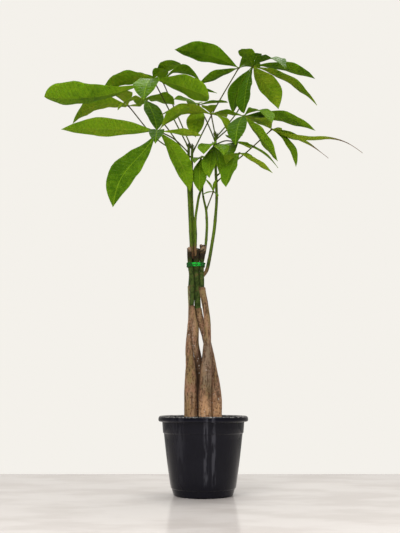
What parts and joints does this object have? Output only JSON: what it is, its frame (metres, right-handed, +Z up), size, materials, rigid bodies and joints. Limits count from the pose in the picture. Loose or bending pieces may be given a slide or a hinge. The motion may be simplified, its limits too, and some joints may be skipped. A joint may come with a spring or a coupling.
{
  "type": "potted money tree",
  "caption": "Young money tree in a round nursery pot: brown trunks leaning into a bundle, tied once, with long green side shoots and hand-shaped leaves of pointed leaflets.",
  "frame": {"origin": "middle of the pot's underside, on the surface the pot stands on", "axes": "+Z up along the pot's axis; -Y is the front as seen in the picture; +X is the picture's right"},
  "size_m": [0.7266, 0.2956, 1.064],
  "materials": {
    "pot_plastic": "gloss",
    "soil": "matte",
    "bark": "matte",
    "stem": "satin",
    "leaf": "satin",
    "tie": "gloss"
  },
  "bodies": {
    "root": {"pot": "pot_plastic", "soil": "soil", "trunk_left": "bark", "trunk_back": "bark", "trunk_front": "bark", "trunk_right": "bark", "stem_back": "stem", "stem_right": "stem", "stem_front": "stem", "stem_left": "stem", "tie": "tie", "leaf_low_left": "leaf", "leaf_far_left": "leaf", "leaf_inner_left": "leaf", "leaf_high_left": "leaf", "leaf_back_left": "leaf", "leaf_middle": "leaf", "leaf_top": "leaf", "leaf_top_right": "leaf", "leaf_front": "leaf", "leaf_right": "leaf", "leaf_far_right": "leaf", "leaf_low_right": "leaf", "leaf_inner_right": "leaf", "leaf_low_middle": "leaf", "leaf_inner_low": "leaf", "leaf_young": "leaf"}
  },
  "joints": []
}
